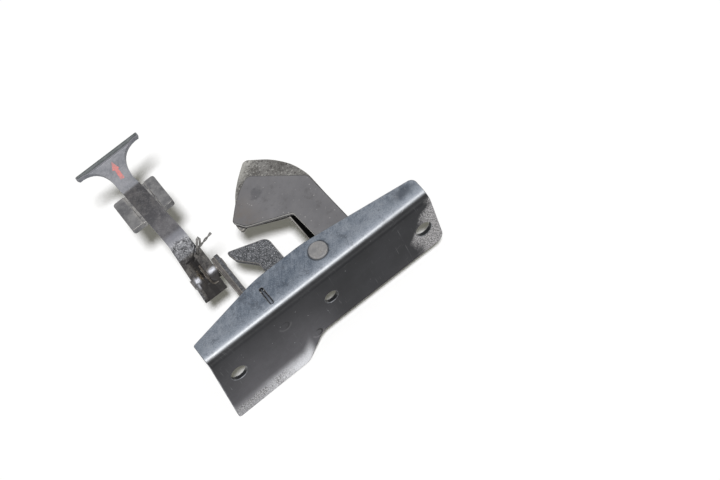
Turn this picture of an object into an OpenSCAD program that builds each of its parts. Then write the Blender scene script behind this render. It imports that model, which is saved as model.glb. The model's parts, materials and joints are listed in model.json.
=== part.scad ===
// Bonnet safety latch: a folded bracket, a sprung double hook with a claw, and a hinged T pull.
// Units are mm. X runs along the bracket, the web faces -Y, the flange top faces +Z.
// The origin is midway between the two fixing holes, on the front face of the web.

/* [Bracket] */
// Length along the bend
bracket_l = 112.4; // [100:0.2:150]
// Sheet thickness
sheet_t = 2; // [1.5:0.1:3]
// Height of the flange top above the fixing holes
flange_top = 19; // [18:0.5:26]
// Outside radius of the bend
bend_r = 5; // [4:0.1:6]
// Greatest depth of the flange
flange_d = 18.7; // [18:0.1:24]
// Depth of the flange at its left end
left_d = 11.3; // [9:0.1:14]
// Depth of the flange at its right end
right_d = 10.6; // [9:0.1:14]
// Radius where the sloped back edges meet the straight middle
bow_r = 45; // [20:1:60]
// Drop of the deep tab below the fixing holes
tab_drop = 26.6; // [22:0.2:40]
// Rise of the tab's lower edge towards the step
tab_rise = 1.2; // [0:0.1:3]
// Length of the deep tab
tab_l = 34.7; // [20:0.1:60]
// Drop of the rest of the web below the fixing holes
web_drop = 13.8; // [10:0.2:20]
// Length of the sloped step between them
step_l = 11.5; // [8:0.5:25]
// Lean of both web ends, mm to each mm of drop
end_lean = 0.07; // [0:0.01:0.1]
// Distance of each fixing hole from its end of the bend
hole_inset = 8.2; // [7.6:0.1:14]
// Fixing hole diameter
hole_d = 7.6; // [5:0.1:8]
// Middle locating hole diameter
locate_d = 6.3; // [4:0.1:7]
// Height of the locating hole above the fixing holes
locate_z = 2.5; // [0:0.1:5]
// Spring slot position along the bracket
slot_x = -20.5; // [-23:0.5:-18]
// Spring slot length
slot_l = 9.8; // [8:0.1:11]
// Spring slot width
slot_w = 1.8; // [1.8:0.1:2.6]

/* [Pivot] */
// Pivot position along the bracket
pivot_x = 7.4; // [4:0.2:12]
// Pivot distance behind the web face
pivot_y = 10.8; // [10.4:0.1:11.8]
// Rivet shank diameter
rivet_d = 5; // [4:0.1:5.4]
// Rivet head diameter
rivet_head_d = 8.6; // [7:0.1:10]
// Rivet head height
rivet_head_h = 0.9; // [0.6:0.1:2]
// Washer thickness
washer_t = 1; // [0.6:0.1:1.6]
// Tie rivet diameter
tie_d = 4.4; // [3.6:0.1:4.6]
// Running clearance on each pin, radial
run_c = 0.05; // [0.02:0.01:0.09]
// Free gap between plates that slide past each other
slide_gap = 0.4; // [0.3:0.05:0.6]

/* [Hook] */
// Thickness of each hook plate
plate_t = 1.6; // [1.2:0.1:2]
// Space between the two hook plates
plate_gap = 3; // [2.8:0.1:4]
// Length of the hook from the pivot to its top corner
hook_l = 55.3; // [50:0.1:62]
// Height of the throat roof above the pivot
throat_y = 24.8; // [22:0.1:28]
// How far the rear plate stands out past the front one
rear_out = 11.3; // [8:0.1:14]
// Tail radius round the pivot
tail_r = 6; // [5:0.1:6.4]

/* [Lever] */
// Lever and claw plate thickness
lever_t = 2; // [1.6:0.1:2.4]
// Distance from the pivot to the upright arm
arm_dx = 32.4; // [31:0.2:34]
// Distance from the pivot to the claw tip, along Y
claw_y = 34.4; // [31:0.2:38]
// Half height of the upright arm
arm_r = 4.5; // [4.2:0.1:4.6]
// Thickness of the second arm plate
arm2_t = 1.6; // [1.2:0.1:2]
// Hinge pin distance behind the web face
pin_y = 41.4; // [39:0.1:44]
// Hinge pin height above the fixing holes
pin_z = 11; // [10.8:0.1:11.4]
// Hinge pin diameter
pin_d = 4; // [3.6:0.1:4.2]
// Hinge pin head diameter
pin_head_d = 5; // [4.8:0.1:6]
// Hinge pin head height
pin_head_h = 0.4; // [0.3:0.1:0.8]

/* [Handle] */
// Sheet thickness of the handle
handle_t = 1.8; // [1.4:0.1:2]
// Outside radius of the hinge knuckles
knuckle_r = 3.9; // [3.7:0.1:4.2]
// Length of each knuckle along the pin
knuckle_w = 4.4; // [3.8:0.1:4.6]
// Gap between the knuckles, for the spring
knuckle_gap = 1.3; // [1.2:0.05:1.6]
// Step from the strip's face down to the knuckle straps
strap_step = 1; // [0.6:0.1:1.3]
// Length of the strip from hinge to first bend
hinge_l = 19.6; // [17:0.2:26]
// Rise of that length in degrees
hinge_a = 41; // [35:1:47]
// Length of the middle strip
mid_l = 33.4; // [28:0.2:42]
// Rise of the middle strip in degrees
mid_a = 5; // [0:1:10]
// Length of the T plate
tee_l = 17; // [14:0.5:20]
// Rise of the T plate in degrees
tee_a = 25; // [15:1:35]
// Length of the turned-up lip
lip_l = 1.6; // [1:0.1:3]
// Turn of the lip from the T plate in degrees
lip_turn = 55; // [40:1:75]
// Centre-line radius of the bend at the T
fold_r = 5; // [2:0.5:6]
// Centre-line radius of the bend by the hinge
hinge_fold_r = 9; // [4:0.5:10]
// Width of the T
tee_w = 32.2; // [28:0.2:40]
// Strip width beside the T
strip_w = 8.4; // [7:0.2:9]
// Depth of the T's hollow flanks
flank_d = 12.2; // [9:0.2:13]
// Length of the turned-down tail
tail_l = 8.4; // [7:0.2:11]
// Stop block size across the strip
stop_w = 21.2; // [16:0.2:24]
// Stop block size along the strip
stop_l = 16.5; // [12:0.5:20]
// Stop block thickness
stop_t = 3; // [2:0.1:4]
// Rise of the stop block's sides beside the strip
stop_lip = 0.6; // [0.4:0.1:0.8]
// Corner radius of the stop block
stop_r = 1.2; // [0.5:0.1:2]

/* [Springs] */
// Return spring wire diameter
ret_wire = 1.2; // [1:0.1:1.3]
// Handle spring wire diameter
hnd_wire = 0.9; // [0.7:0.05:1]
// Strand diameter of the twisted lock wire
lock_wire_d = 0.6; // [0.5:0.05:0.95]
// Length of the free twisted end
lock_wire_l = 8.6; // [6:0.2:12]
// Length of the lock wire's folded end
lock_fold_l = 3.6; // [2.5:0.1:5]

/* [Hidden] */
$fn = 48;
// levels, from the flange down
flange_under = flange_top - sheet_t;
front_z = flange_under - slide_gap - plate_t;
rear_z = front_z - plate_gap - plate_t;
lever_z = rear_z - lever_t;
washer_z = lever_z - slide_gap - washer_t;
// bores
pivot_r = rivet_d / 2;
pivot_bore_r = pivot_r + run_c;
tie_r = tie_d / 2;
pin_r = pin_d / 2;
pin_bore_r = pin_r + run_c;
// tie rivet, seen from the pivot
tie_at = [10.1, 3.5];
// bracket ends, and the straight middle of the flange edge
half_l = bracket_l / 2;
hole_x = half_l - hole_inset;
bow_x0 = -20.6;
bow_x1 = 4;
locate_x = 0.7;
// near end of the spring slot
slot_y = bend_r - 1.1;
// upright arm planes
arm_x1 = pivot_x - arm_dx;
arm_x0 = arm_x1 - lever_t;
arm2_x0 = arm_x0 - arm2_t;
arm_y0 = sheet_t + slide_gap + 0.8;
// handle: right knuckle beside the second arm plate
knuckle_x1 = arm2_x0 - slide_gap;
handle_x = knuckle_x1 - 7.2;
knuckle2 = 7.2 - knuckle_w;
gap_x0 = knuckle2 - knuckle_gap;
knuckle1 = gap_x0 - knuckle_w - 0.3;
// handle centre line in the YZ plane
mid_r = knuckle_r - handle_t / 2;
p_pin = [pin_y, pin_z];
n_hinge = [-sin(hinge_a), cos(hinge_a)];
p_top = p_pin + mid_r * n_hinge;
p_b2 = along(p_top, hinge_l, hinge_a);
p_b1 = along(p_b2, mid_l, mid_a);
p_tee = along(p_b1, tee_l, tee_a);
p_lip = along(p_tee, lip_l, tee_a + lip_turn);
p_strap = p_pin + (mid_r - strap_step) * n_hinge;
p_floor = p_strap - 1.2 * n_hinge;
tail_a = 243;
p_front = [pin_y + mid_r * cos(tail_a - 90), pin_z + mid_r * sin(tail_a - 90)];
p_tail = along(p_front, tail_l, tail_a);
// ends of the strip's cut edge, and the lock wire hole
cut_y1 = pin_y + 6.8;
cut_y0 = pin_y + 4.6;
wire_x = 4.9;
wire_y = pin_y + 5.3;

black = [0.17, 0.18, 0.2];
worn = [0.36, 0.35, 0.36];
dusty = [0.42, 0.4, 0.38];
steel = [0.5, 0.48, 0.46];
rusty = [0.38, 0.29, 0.21];

function along(p, l, a) = [p[0] + l * cos(a), p[1] + l * sin(a)];
function unit(v) = v / norm(v);

// corner arc of a polygon vertex with radius c[2]
function corner(a, c, b, steps) =
    let (p = [c[0], c[1]],
         u = unit([a[0], a[1]] - p),
         w = unit([b[0], b[1]] - p),
         half = acos(max(-1, min(1, u * w))) / 2,
         turn = u[0] * w[1] - u[1] * w[0],
         o = p + unit(u + w) * c[2] / sin(half),
         s = p + u * c[2] / tan(half) - o,
         sweep = (turn > 0 ? -1 : 1) * (180 - 2 * half),
         s0 = atan2(s[1], s[0]))
    [for (k = [0 : steps]) o + c[2] * [cos(s0 + sweep * k / steps), sin(s0 + sweep * k / steps)]];

// polygon points [x, y, r] with each corner rounded to its own r
function rounded(pts, steps = 6) =
    [for (i = [0 : len(pts) - 1])
        for (q = pts[i][2] > 0
            ? corner(pts[(i + len(pts) - 1) % len(pts)], pts[i], pts[(i + 1) % len(pts)], steps)
            : [[pts[i][0], pts[i][1]]]) q];

// side direction of an open path at its point i
function side_at(p, i) =
    let (d = unit(p[min(i + 1, len(p) - 1)] - p[max(i - 1, 0)]))
    [-d[1], d[0]];

// outline of an open path made t thick
function sheet(p, t) = concat(
    [for (i = [0 : len(p) - 1]) p[i] + t / 2 * side_at(p, i)],
    [for (i = [len(p) - 1 : -1 : 0]) p[i] - t / 2 * side_at(p, i)]);

// straight bar between two 2D points
module bar2d(a, b, t) {
    translate(a)
        rotate(atan2(b[1] - a[1], b[0] - a[0]))
            translate([0, -t / 2])
                square([norm(b - a), t]);
}

// 2D drawing in the YZ plane, thickened along +X from x0
module on_yz(x0, h) {
    translate([x0, 0, 0])
        rotate([90, 0, 90])
            linear_extrude(h)
                children();
}

// round wire along a list of 3D points
module wire(path, r, sides = 8) {
    n = len(path);
    t = [for (i = [0 : n - 1]) unit(path[min(i + 1, n - 1)] - path[max(i - 1, 0)])];
    side = abs(t[0][2]) < 0.8 ? [0, 0, 1] : [1, 0, 0];
    first = unit(side - t[0] * (side * t[0]));
    nrm = [for (i = 0, q = first; i < n; i = i + 1, q = i < n ? unit(q - t[i] * (q * t[i])) : q) q];
    pts = [for (i = [0 : n - 1])
        for (k = [0 : sides - 1])
            path[i] + r * (cos(360 * k / sides) * nrm[i] + sin(360 * k / sides) * cross(t[i], nrm[i]))];
    skin1 = [for (i = [0 : n - 2])
        for (k = [0 : sides - 1])
            [i * sides + k, (i + 1) * sides + k, (i + 1) * sides + (k + 1) % sides]];
    skin2 = [for (i = [0 : n - 2])
        for (k = [0 : sides - 1])
            [i * sides + k, (i + 1) * sides + (k + 1) % sides, i * sides + (k + 1) % sides]];
    cap1 = [[for (k = [0 : sides - 1]) k]];
    cap2 = [[for (k = [0 : sides - 1]) n * sides - 1 - k]];
    polyhedron(points = pts, faces = concat(skin1, skin2, cap1, cap2), convexity = 6);
}

// Bracket

module l_section() {
    translate([0, -tab_drop - 1])
        square([sheet_t, flange_top - bend_r + tab_drop + 1]);
    translate([bend_r, flange_top - sheet_t])
        square([flange_d + 2 - bend_r, sheet_t]);
    intersection() {
        translate([bend_r, flange_top - bend_r])
            difference() {
                circle(bend_r);
                circle(bend_r - sheet_t);
            }
        translate([0, flange_top - bend_r])
            square([bend_r, bend_r]);
    }
}

module web_outline() {
    bend_z = flange_top - bend_r;
    polygon(rounded([
        [-half_l, flange_top + 1, 0],
        [-half_l, bend_z, 0],
        [-half_l - end_lean * (bend_z + tab_drop), -tab_drop, 1.2],
        [-half_l + tab_l, -tab_drop + tab_rise, 6],
        [-half_l + tab_l + step_l, -web_drop, 8],
        [half_l - end_lean * (bend_z + web_drop), -web_drop, 4],
        [half_l, bend_z, 0],
        [half_l, flange_top + 1, 0]]));
}

module flange_plan() {
    polygon(rounded([
        [-half_l - 6, -1, 0],
        [half_l + 6, -1, 0],
        [half_l + 6, bend_r, 0],
        [half_l, bend_r, 0],
        [half_l, right_d, 3],
        [bow_x1, flange_d, bow_r],
        [bow_x0, flange_d, bow_r],
        [-half_l, left_d, 1],
        [-half_l, bend_r, 0],
        [-half_l - 6, bend_r, 0]], 8));
}

module bracket() {
    deep = flange_top + tab_drop + 4;
    color(black)
        difference() {
            intersection() {
                on_yz(-half_l - 5, bracket_l + 10)
                    l_section();
                translate([0, flange_d + 1, 0])
                    rotate([90, 0, 0])
                        linear_extrude(flange_d + 2)
                            web_outline();
                translate([0, 0, -tab_drop - 2])
                    linear_extrude(deep)
                        flange_plan();
            }
            // fixing holes
            for (s = [-1, 1])
                translate([s * hole_x, -1, 0])
                    rotate([-90, 0, 0])
                        cylinder(d = hole_d, h = sheet_t + 2);
            // locating hole
            translate([locate_x, -1, locate_z])
                rotate([-90, 0, 0])
                    cylinder(d = locate_d, h = sheet_t + 2);
            // rivet hole
            translate([pivot_x, pivot_y, flange_under - 1])
                cylinder(r = pivot_r, h = sheet_t + 2);
            // spring slot with round ends
            translate([slot_x - slot_w / 2, slot_y + slot_w / 2, flange_under - 1])
                cube([slot_w, slot_l - slot_w, sheet_t + 2]);
            for (e = [0, 1])
                translate([slot_x, slot_y + slot_w / 2 + e * (slot_l - slot_w), flange_under - 1])
                    cylinder(d = slot_w, h = sheet_t + 2);
        }
}

// Pivot

module pivot_rivet() {
    color(steel)
        translate([pivot_x, pivot_y, 0]) {
            translate([0, 0, washer_z - 0.1])
                cylinder(r = pivot_r, h = flange_top - washer_z + 0.2);
            translate([0, 0, flange_top])
                cylinder(d1 = rivet_head_d, d2 = rivet_head_d - 0.6, h = rivet_head_h);
            translate([0, 0, washer_z - 1.2])
                cylinder(d1 = rivet_head_d - 1.5, d2 = rivet_head_d, h = 1.2);
        }
}

module pivot_washer() {
    color(steel)
        translate([pivot_x, pivot_y, washer_z])
            difference() {
                cylinder(d = rivet_d + 5, h = washer_t);
                translate([0, 0, -1])
                    cylinder(r = pivot_r, h = washer_t + 2);
            }
}

module ring(ro, ri, h) {
    difference() {
        cylinder(r = ro, h = h);
        translate([0, 0, -1])
            cylinder(r = ri, h = h + 2);
    }
}

module pivot_spacer() {
    color(steel)
        translate([pivot_x, pivot_y, rear_z + plate_t])
            ring(pivot_r + 1.5, pivot_bore_r, plate_gap);
}

module tie_spacer() {
    color(steel)
        translate([pivot_x + tie_at[0], pivot_y + tie_at[1], rear_z + plate_t])
            ring(tie_r + 1.3, tie_r, plate_gap);
}

module tie_rivet() {
    color(steel)
        translate([pivot_x + tie_at[0], pivot_y + tie_at[1], 0]) {
            translate([0, 0, lever_z - 0.1])
                cylinder(r = tie_r, h = front_z + plate_t - lever_z + 0.1);
            translate([0, 0, lever_z - 1])
                cylinder(d1 = tie_d + 1.4, d2 = tie_d + 2.6, h = 1);
        }
}

// Hook

module hook_plate(pts) {
    difference() {
        union() {
            polygon(rounded(pts));
            circle(tail_r);
        }
        circle(pivot_bore_r);
        translate(tie_at)
            circle(tie_r);
    }
}

module hook_front_plate() {
    pts = [
        [18.8, 4.5, 1],
        [17.9, hook_l - 19.7, 3],
        [-2.2, hook_l, 3.4],
        [-8.4, hook_l - 3.9, 20],
        [-13.9, hook_l - 8.8, 20],
        [-19.5, hook_l - 15.3, 2],
        [-16.2, throat_y + 9.2, 2.2],
        [2.4, throat_y, 2],
        [3.3, 8.6, 2],
        [-tail_r + 0.4, 2.2, 0],
        [2, -tail_r + 0.35, 0]];
    color(worn)
        translate([pivot_x, pivot_y, front_z])
            linear_extrude(plate_t)
                hook_plate(pts);
}

module hook_rear_plate() {
    top = hook_l + rear_out;
    pts = [
        [18.9, 4.5, 1],
        [18.7, top - 26.6, 28],
        [16.3, top - 17, 28],
        [10.7, top - 8.2, 30],
        [1.6, top, 2.4],
        [-5.4, top - 6.2, 30],
        [-10.3, top - 11.5, 30],
        [-18.8, top - 25.4, 3],
        [-18.5, throat_y + 11.9, 0.9],
        [-15.6, throat_y + 12.5, 0.9],
        [0.4, throat_y + 3.4, 2],
        [1, 8.6, 2],
        [-tail_r + 0.4, 2.2, 0],
        [2, -tail_r + 0.35, 0]];
    color(dusty)
        translate([pivot_x, pivot_y, rear_z])
            linear_extrude(plate_t)
                hook_plate(pts);
}

// Return spring: coil round the spacer, one leg up into the slot, one under the tie

module return_spring() {
    r = ret_wire / 2;
    rc = pivot_r + 1.5 + 0.4 + r;
    z0 = rear_z + plate_t + r + 0.15;
    rise = plate_gap - ret_wire - 0.3;
    turn = 346;
    steps = 24;
    coil = [for (k = [0 : steps])
        let (a = -90 + turn * k / steps)
        [rc * cos(a), rc * sin(a), z0 + rise * (1 - k / steps)]];
    far = slot_x - pivot_x;
    leg_y = -rc - 0.9;
    lie_z = flange_top - r - 0.1;
    anchor = [
        [far, leg_y + 8.1, lie_z],
        [far, leg_y + 1.6, lie_z],
        [far, leg_y + 0.8, lie_z - 0.25],
        [far, leg_y + 0.2, lie_z - 0.85],
        [far, leg_y, z0 + rise + 1.4],
        [far + 0.4, leg_y, z0 + rise + 0.4],
        [far + 1.4, leg_y, z0 + rise],
        [far + 12, leg_y + 0.3, z0 + rise]];
    out = coil[steps];
    press = [
        [out[0] + 3, out[1] + 0.2, z0],
        [tie_at[0] - 3, tie_at[1] - tie_r - 1.3 - r - 0.9, z0],
        [tie_at[0] + 3, tie_at[1] - tie_r - 1.3 - r - 0.05, z0]];
    color(rusty)
        translate([pivot_x, pivot_y, 0])
            wire(concat(anchor, coil, press), r);
}

// Lever with the claw, and the arm plates

module release_lever() {
    claw = [
        [-arm_dx - lever_t / 2, -6.4, 0],
        [-2, -5.3, 0],
        [-2, 5.2, 0],
        [-11.7, 7, 3],
        [-11.7, claw_y - 7, 4.2],
        [-29.2, claw_y, 0.9],
        [-27.9, claw_y - 6.5, 3],
        [-21.5, claw_y - 15, 3],
        [-21.5, 7, 3],
        [-arm_dx - lever_t / 2, 7, 0]];
    color(worn)
        difference() {
            union() {
                translate([pivot_x, pivot_y, lever_z])
                    linear_extrude(lever_t)
                        union() {
                            polygon(rounded(claw));
                            circle(tail_r);
                            bar2d([0, 0], tie_at, 8.2);
                            translate(tie_at)
                                circle(4.3);
                        }
                on_yz(arm_x0, lever_t)
                    union() {
                        translate([arm_y0, pin_z - arm_r])
                            square([pin_y - arm_y0, 2 * arm_r]);
                        translate(p_pin)
                            circle(arm_r);
                    }
            }
            translate([pivot_x, pivot_y, lever_z - 1])
                cylinder(r = pivot_bore_r, h = lever_t + 2);
            translate([pivot_x + tie_at[0], pivot_y + tie_at[1], lever_z - 1])
                cylinder(r = tie_r, h = lever_t + 2);
            translate([arm_x0 - 1, pin_y, pin_z])
                rotate([0, 90, 0])
                    cylinder(r = pin_r, h = lever_t + 2);
        }
}

module hinge_arm() {
    ra = arm_r - 0.5;
    color(dusty)
        on_yz(arm2_x0, arm2_t)
            difference() {
                union() {
                    translate([arm_y0 + 3, pin_z - ra])
                        square([pin_y - arm_y0 - 3, 2 * ra]);
                    translate(p_pin)
                        circle(ra + 0.2);
                }
                translate(p_pin)
                    circle(pin_r);
            }
}

module hinge_pin() {
    x0 = handle_x - 4.5;
    color(steel)
        translate([0, pin_y, pin_z])
            rotate([0, 90, 0]) {
                translate([0, 0, x0 - 0.1])
                    cylinder(r = pin_r, h = arm_x1 - x0 + 0.2);
                translate([0, 0, x0 - pin_head_h])
                    cylinder(d1 = pin_head_d - 1, d2 = pin_head_d, h = pin_head_h);
                translate([0, 0, arm_x1])
                    cylinder(d1 = pin_head_d, d2 = pin_head_d - 1, h = pin_head_h);
            }
}

// Handle

// folded strip from the cut edge to the lip
module strip_profile() {
    path = rounded([
        concat(along(p_top, 4, hinge_a), 0),
        concat(p_b2, hinge_fold_r),
        concat(p_b1, fold_r),
        concat(p_tee, 1.2),
        concat(p_lip, 0)], 5);
    polygon(sheet(path, handle_t));
    translate(p_lip)
        circle(handle_t / 2, $fn = 24);
}

// rolled knuckle with its strap, one step below the strip
module knuckle_profile() {
    bar2d(p_strap, along(p_strap, 12, hinge_a), handle_t);
    translate(p_pin)
        circle(knuckle_r);
}

// side cheek: top edge in line with the strip, down to the tail
module cheek_profile() {
    face = (handle_t / 2 - 0.1) * n_hinge;
    low = along(p_top, -8.6, hinge_a);
    polygon(rounded([
        concat(along(p_b2, -4, hinge_a) + face, 0),
        concat(low + face, 1.5),
        concat(p_tail + [-0.6, 0.2], 1.2),
        concat(p_pin + [2.2, -5.4], 4),
        concat(along(p_b2, -4, hinge_a) - 2.2 * face, 0)]));
}

// hollow flank of the T, from its tip to the strip
function flank(tw, hw, tip) =
    [for (k = [1 : 11])
        let (a = 90 * (1 - k / 12))
        [tw - (tw - hw) * pow(cos(a), 0.77), tip - flank_d * (1 - pow(sin(a), 0.77))]];

// front view of the T, with round lip corners
module tee_front() {
    tw = tee_w / 2 + 0.3;
    top = p_lip[1] + handle_t / 2 + 0.2;
    polygon(rounded([
        [-tw, 0, 0],
        [tw, 0, 0],
        [tw, top, 2.4],
        [-tw, top, 2.4]], 5));
}

module tee_plan() {
    hw = strip_w / 2;
    tw = tee_w / 2;
    top = p_lip[0] + handle_t;
    tip = p_tee[0] - 0.1;
    right = concat([[tw, top], [tw, tip + 0.7], [tw - 0.7, tip - 0.1]], flank(tw, hw - 0.5, tip), [
        [hw - 0.5, tip - flank_d],
        [hw, p_b1[0]],
        [6.2, p_b2[0]],
        [6.2, cut_y1 + 1],
        [wire_x, cut_y1],
        [1.7, cut_y0]]);
    left = concat([[-2.6, cut_y0], [-3.7, cut_y0], [-2.9, p_b2[0]], [-hw, p_b1[0]], [-hw - 0.3, tip - flank_d]],
        [for (q = [10 : -1 : 0]) [-flank(tw, hw + 0.3, tip)[q][0], flank(tw, hw + 0.3, tip)[q][1]]],
        [[-tw + 0.7, tip - 0.1], [-tw, tip + 0.7], [-tw, top]]);
    polygon(concat(right, left));
}

module pull_handle() {
    tall = p_lip[1] + 30;
    color(black)
        difference() {
            union() {
                intersection() {
                    on_yz(handle_x - tee_w / 2 - 1, tee_w + 2)
                        strip_profile();
                    translate([handle_x, 0, -10])
                        linear_extrude(tall)
                            tee_plan();
                    translate([handle_x, p_lip[0] + 3, 0])
                        rotate([90, 0, 0])
                            linear_extrude(p_lip[0])
                                tee_front();
                }
                intersection() {
                    on_yz(handle_x - 8, 10)
                        cheek_profile();
                    translate([handle_x, 0, -10])
                        linear_extrude(tall)
                            polygon([[-2.9, p_b2[0]], [-5.1, p_tail[0] - 3], [-3, p_tail[0] - 3], [-0.9, p_b2[0]]]);
                }
                on_yz(handle_x + knuckle1, knuckle_w + 0.3)
                    knuckle_profile();
                on_yz(handle_x + knuckle2, knuckle_w)
                    knuckle_profile();
                // floor under the gap between the straps
                on_yz(handle_x + gap_x0 - 0.5, knuckle_gap + 1)
                    bar2d(along(p_floor, 3.4, hinge_a), along(p_floor, 10.6, hinge_a), 1);
                on_yz(handle_x - 3.8, 10)
                    bar2d(p_front, p_tail, handle_t);
            }
            // notch in the tail's top edge, for the spring between the knuckles
            translate([handle_x + gap_x0, p_tail[0], pin_z + 0.3])
                cube([knuckle_gap, pin_y - p_tail[0] + 1, 8]);
            // hinge bore
            translate([handle_x - 10, pin_y, pin_z])
                rotate([0, 90, 0])
                    cylinder(r = pin_bore_r, h = 20);
            // lock wire hole
            translate([handle_x + wire_x, wire_y, pin_z])
                cylinder(r = lock_wire_d + 0.1, h = 20);
        }
}

module handle_stop() {
    plan = rounded([
        [-stop_w / 2, 0, stop_r],
        [stop_w / 2, 0, stop_r],
        [stop_w / 2, stop_l, stop_r],
        [-stop_w / 2, stop_l, stop_r]], 4);
    color(worn)
        translate([handle_x, p_b1[0], p_b1[1]])
            rotate([mid_a, 0, 0])
                translate([0, -stop_l, -handle_t / 2 - stop_t - 0.02])
                    difference() {
                        linear_extrude(stop_t + stop_lip)
                            polygon(plan);
                        translate([-strip_w / 2 - 0.8, -1, stop_t])
                            cube([strip_w + 2.2, stop_l + 2, stop_lip + 1]);
                    }
}

module handle_spring() {
    r = hnd_wire / 2;
    rc = knuckle_r + r + 0.05;
    x = gap_x0 + knuckle_gap / 2;
    a0 = hinge_a + 90;
    steps = 6;
    turn = tail_a - 90 - a0;
    coil = [for (k = [0 : steps])
        let (a = a0 + turn * k / steps)
        [x, rc * cos(a), rc * sin(a)]];
    d = [0, cos(hinge_a), sin(hinge_a)];
    a1 = a0 + turn;
    e = [0, -sin(a1), cos(a1)];
    last = coil[steps];
    color(rusty)
        translate([handle_x, pin_y, pin_z])
            wire(concat([coil[0] + d * 5.4, coil[0] + d * 2.5], coil,
                [last + e * 1.4, last + e * 2.6 + [0.3, 0, 0], last + e * 3.2 + [1, 0, 0], last + e * 3.3 + [2.6, 0, 0]]), r);
}

// Lock wire: two strands twisted together, up through the strap and out to the side, and a folded end

module lock_wire() {
    r = lock_wire_d / 2;
    x = handle_x + wire_x;
    y = wire_y;
    z = p_strap[1] + (y - p_strap[0]) * tan(hinge_a);
    bend = 1.6;
    up = 2;
    ang = 73;
    base = [for (k = [0 : 5]) [x, y, z - 2 + (up + 2) * k / 5]];
    arc = [for (k = [1 : 6])
        let (a = ang * k / 6)
        [x + bend * (1 - cos(a)), y + 0.05 * k, z + up + bend * sin(a)]];
    tip = arc[5];
    run = [for (k = [1 : 12]) tip + lock_wire_l * k / 12 * [sin(ang), 0.05, cos(ang)]];
    axis = concat(base, arc, run);
    n = len(axis);
    fold = lock_fold_l * [0.62, 0.72, 0.3];
    color(rusty) {
        for (s = [0, 180])
            wire([for (i = [0 : n - 1])
                let (t = unit(axis[min(i + 1, n - 1)] - axis[max(i - 1, 0)]),
                     u = [0, 1, 0],
                     w = unit(cross(t, u)),
                     a = s + i * 42)
                axis[i] + (r + 0.01) * (cos(a) * u + sin(a) * w)], r, 6);
        wire([
            [x + 0.2, y, z + up + 0.1],
            [x + 0.9, y + 0.7, z + up + 1.2],
            [x + 1, y + 1, z + up + 1.5] + fold,
            [x + 1.5, y + 0.9, z + up + 1.6] + 1.15 * fold,
            [x + 2, y + 0.4, z + up + 1.5] + fold,
            [x + 2.2, y + 0.1, z + up + 1.3] + 0.3 * fold], r * 1.7, 6);
    }
}

bracket();
pivot_rivet();
pivot_washer();
hook_front_plate();
hook_rear_plate();
pivot_spacer();
tie_spacer();
tie_rivet();
return_spring();
release_lever();
hinge_arm();
hinge_pin();
pull_handle();
handle_stop();
handle_spring();
lock_wire();
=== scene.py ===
import bpy, bmesh, json, math
from mathutils import Matrix, Vector

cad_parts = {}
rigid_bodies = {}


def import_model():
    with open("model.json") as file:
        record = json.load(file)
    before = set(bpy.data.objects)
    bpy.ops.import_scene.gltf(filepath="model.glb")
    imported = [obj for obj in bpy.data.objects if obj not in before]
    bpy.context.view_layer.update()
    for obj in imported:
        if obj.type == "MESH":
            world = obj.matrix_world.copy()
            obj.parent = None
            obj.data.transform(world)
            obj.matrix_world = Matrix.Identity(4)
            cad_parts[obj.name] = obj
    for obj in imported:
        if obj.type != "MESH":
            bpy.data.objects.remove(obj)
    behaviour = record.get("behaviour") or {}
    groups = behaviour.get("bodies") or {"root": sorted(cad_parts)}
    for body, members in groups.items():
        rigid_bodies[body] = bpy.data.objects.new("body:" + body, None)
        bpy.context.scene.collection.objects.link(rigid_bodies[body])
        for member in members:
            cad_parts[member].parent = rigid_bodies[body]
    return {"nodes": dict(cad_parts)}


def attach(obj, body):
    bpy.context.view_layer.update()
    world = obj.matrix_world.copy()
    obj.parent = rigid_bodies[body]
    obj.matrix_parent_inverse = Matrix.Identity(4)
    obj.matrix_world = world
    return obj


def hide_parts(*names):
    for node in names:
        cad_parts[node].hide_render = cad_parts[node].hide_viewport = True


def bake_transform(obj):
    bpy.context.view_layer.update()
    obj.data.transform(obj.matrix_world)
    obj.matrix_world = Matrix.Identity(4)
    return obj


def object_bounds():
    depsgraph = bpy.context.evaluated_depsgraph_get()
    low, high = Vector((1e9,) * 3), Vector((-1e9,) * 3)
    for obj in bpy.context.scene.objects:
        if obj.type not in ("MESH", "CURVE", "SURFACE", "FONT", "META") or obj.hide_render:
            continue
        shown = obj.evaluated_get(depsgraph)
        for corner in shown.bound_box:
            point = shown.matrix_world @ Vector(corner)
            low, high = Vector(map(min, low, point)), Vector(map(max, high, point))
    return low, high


for o in list(bpy.data.objects):
    bpy.data.objects.remove(o, do_unlink=True)

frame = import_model()
nodes = frame["nodes"]
bpy.context.view_layer.update()
cad_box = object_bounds()
scene = bpy.context.scene
MM = 0.001

# places on the part, in mm
PIVOT_X, PIVOT_Y = 7.4, 10.8            # middle of the rivet's head
HANDLE_X = -36.2                        # middle line of the handle
TEE_Y, TEE_Z = 87.497, 29.034           # bend where the T plate starts, middle of the sheet
TEE_RISE = math.radians(25)             # slope of the T plate from there
WEB_FOOT = -26.6                        # lowest edge of the web
WEB_STEP = 11.8                         # how much higher its edge is right of the step
WEB_SLOPE = 1.2                         # how much the edge rises from the left end to the step


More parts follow.
